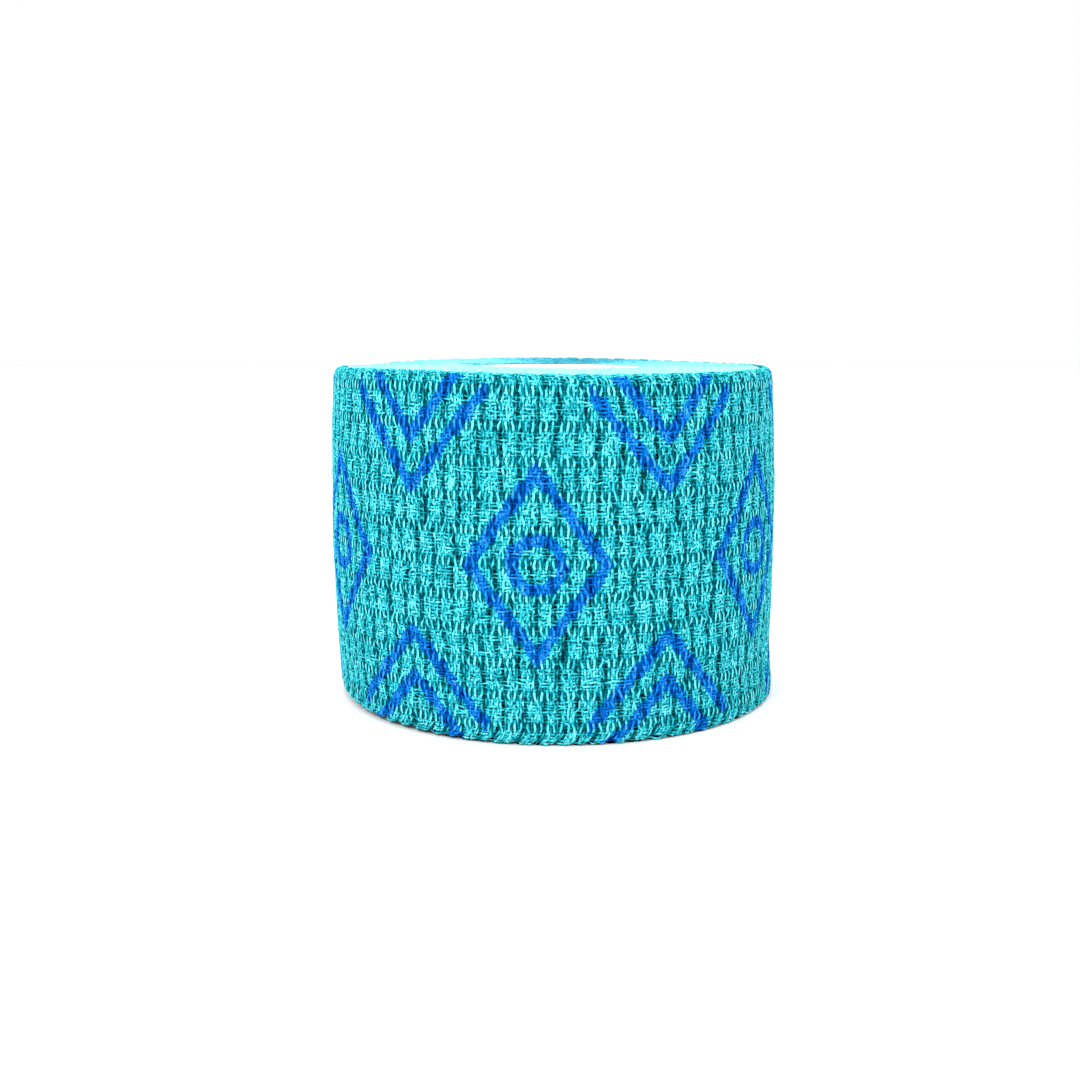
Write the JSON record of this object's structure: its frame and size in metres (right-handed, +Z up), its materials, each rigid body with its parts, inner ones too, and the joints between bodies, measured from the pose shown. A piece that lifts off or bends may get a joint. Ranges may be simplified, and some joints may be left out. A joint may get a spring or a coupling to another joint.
{
  "type": "weightlifting tape roll",
  "caption": "Roll of crinkled elastic cotton tape for wrapping fingers and thumbs, wound on a white core and standing on one end.",
  "frame": {"origin": "middle of the roll's base, on its axis, at the height of the surface it stands on", "axes": "+Z up along the roll's axis, -Y towards the side that is seen from the front, away from the tape's outer end"},
  "size_m": [0.0685, 0.0689, 0.05],
  "materials": {
    "elastic_cotton_tape": "crinkled plain weave of dyed cotton and elastic yarns, matt, with a blue ink print",
    "white_core_board": "matt white paperboard, cut square"
  },
  "bodies": {
    "root": {"tape_roll": "elastic_cotton_tape", "core_tube": "white_core_board"}
  },
  "joints": []
}
